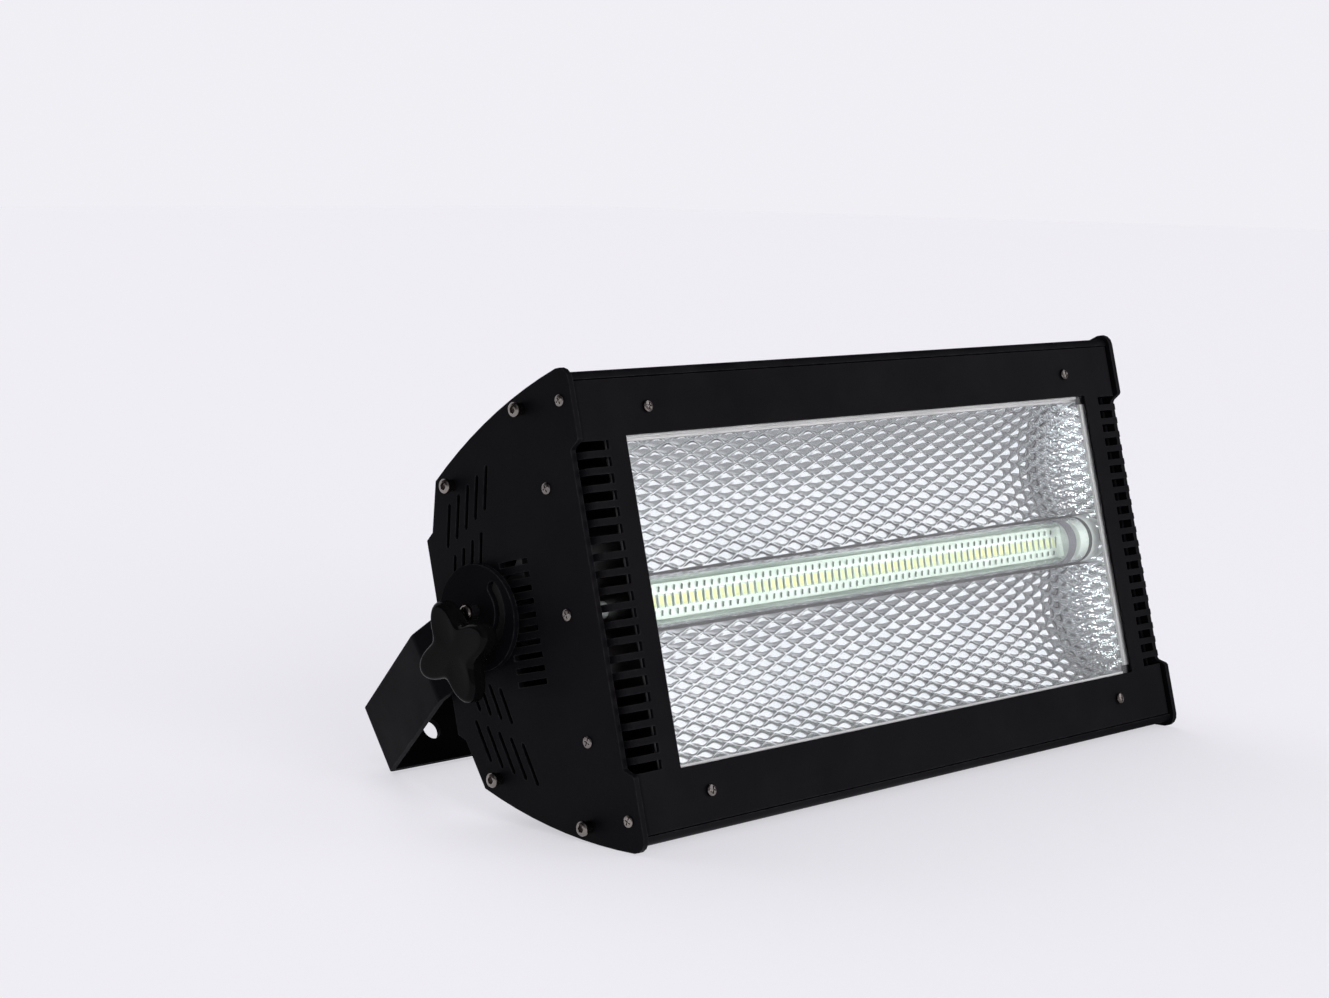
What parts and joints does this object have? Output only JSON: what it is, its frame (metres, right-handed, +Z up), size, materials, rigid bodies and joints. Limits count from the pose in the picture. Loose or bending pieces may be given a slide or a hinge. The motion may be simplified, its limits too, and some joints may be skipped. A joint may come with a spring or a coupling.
{
  "type": "stage strobe light",
  "caption": "Black stage strobe light: a wide glass window before a bright faceted reflector with a long clear lamp tube, in a U-shaped yoke clamped by star knobs.",
  "frame": {"origin": "bottom centre of the bounding box, on the surface that the light stands on", "axes": "+X to the right of someone who faces the window, +Y from the window to the rear, +Z up. The head leans back 14.15 degrees on its lower front corners and on the yoke bar."},
  "size_m": [0.47, 0.2248, 0.2124],
  "materials": {
    "shell": "satin black powder coat",
    "clear_glass": "clear",
    "rubber": "matt",
    "reflector": "bright, with a diamond pattern",
    "board_white": "white solder mask",
    "phosphor": "matt yellow",
    "board_green": "green solder mask",
    "aluminium": "plain mill",
    "holder": "white",
    "knob": "gloss black",
    "nickel": "nickel plated",
    "plastic": "matt black"
  },
  "bodies": {
    "head": {"front_bezel": "shell", "top_cover": "shell", "bottom_cover": "shell", "rear_panel": "shell", "window_glass": "clear_glass", "window_seal": "rubber", "reflector": "reflector", "glass_tube": "clear_glass", "lamp_board": "board_white", "led_row": "phosphor", "heat_sink": "aluminium", "power_supply": "aluminium", "control_board": "board_green", "display_window": "clear_glass", "mains_inlet": "plastic", "fuse_holder": "plastic", "dmx_in_socket": "plastic", "dmx_out_socket": "plastic", "bezel_screw_1": "nickel", "bezel_screw_2": "nickel", "bezel_screw_3": "nickel", "bezel_screw_4": "nickel", "left_end_plate": "shell", "left_reflector_end": "reflector", "left_tube_holder": "holder", "left_fan_frame": "plastic", "left_friction_washer": "rubber", "left_pivot_sleeve": "shell", "left_pivot_screw": "nickel", "left_clamp_stud": "nickel", "left_cap_screw_1": "nickel", "left_cap_screw_2": "nickel", "left_cap_screw_3": "nickel", "left_cap_screw_4": "nickel", "right_end_plate": "shell", "right_reflector_end": "reflector", "right_tube_holder": "holder", "right_fan_frame": "plastic", "right_friction_washer": "rubber", "right_pivot_sleeve": "shell", "right_pivot_screw": "nickel", "right_clamp_stud": "nickel", "right_cap_screw_1": "nickel", "right_cap_screw_2": "nickel", "right_cap_screw_3": "nickel", "right_cap_screw_4": "nickel"},
    "yoke": {"yoke": "shell"},
    "left_fan_rotor": {"left_fan_rotor": "plastic"},
    "right_fan_rotor": {"right_fan_rotor": "plastic"},
    "left_clamp_washer": {"left_clamp_washer": "nickel"},
    "right_clamp_washer": {"right_clamp_washer": "nickel"},
    "left_knob": {"left_knob": "knob"},
    "right_knob": {"right_knob": "knob"},
    "menu_button_1": {"menu_button_1": "rubber"},
    "menu_button_2": {"menu_button_2": "rubber"},
    "menu_button_3": {"menu_button_3": "rubber"},
    "menu_button_4": {"menu_button_4": "rubber"}
  },
  "joints": [
    {"name": "yoke_swing", "type": "hinge", "parent": "head", "child": "yoke", "pos_m": [0, -0.00875, 0.09729], "axis": [1, 0, 0], "range_deg": [-12, 70]},
    {"name": "left_clamp_slide", "type": "slide", "parent": "head", "child": "left_clamp_washer", "axis": [-1, 0, 0], "range_m": [0, 0.00101]},
    {"name": "left_knob_turn", "type": "hinge", "parent": "left_clamp_washer", "child": "left_knob", "pos_m": [0, -0.01057, 0.08039], "axis": [-1, 0, 0], "range_deg": [0, 360]},
    {"name": "left_fan_spin", "type": "hinge", "parent": "head", "child": "left_fan_rotor", "pos_m": [0, -0.00845, 0.12713], "axis": [-1, 0, 0], "continuous": true},
    {"name": "right_clamp_slide", "type": "slide", "parent": "head", "child": "right_clamp_washer", "axis": [1, 0, 0], "range_m": [0, 0.00101]},
    {"name": "right_knob_turn", "type": "hinge", "parent": "right_clamp_washer", "child": "right_knob", "pos_m": [0, -0.01057, 0.08039], "axis": [1, 0, 0], "range_deg": [0, 360]},
    {"name": "right_fan_spin", "type": "hinge", "parent": "head", "child": "right_fan_rotor", "pos_m": [0, -0.00845, 0.12713], "axis": [1, 0, 0], "continuous": true},
    {"name": "menu_button_1_press", "type": "slide", "parent": "head", "child": "menu_button_1", "axis": [0, -0.9697, 0.2445], "range_m": [0, 0.0008], "stiffness_N_per_m": 600},
    {"name": "menu_button_2_press", "type": "slide", "parent": "head", "child": "menu_button_2", "axis": [0, -0.9697, 0.2445], "range_m": [0, 0.0008], "stiffness_N_per_m": 600},
    {"name": "menu_button_3_press", "type": "slide", "parent": "head", "child": "menu_button_3", "axis": [0, -0.9697, 0.2445], "range_m": [0, 0.0008], "stiffness_N_per_m": 600},
    {"name": "menu_button_4_press", "type": "slide", "parent": "head", "child": "menu_button_4", "axis": [0, -0.9697, 0.2445], "range_m": [0, 0.0008], "stiffness_N_per_m": 600}
  ],
  "couplings": [
    {"joint": "left_clamp_slide", "follows": "left_knob_turn", "m_per_rad": 0.00015915},
    {"joint": "right_clamp_slide", "follows": "right_knob_turn", "m_per_rad": 0.00015915}
  ]
}
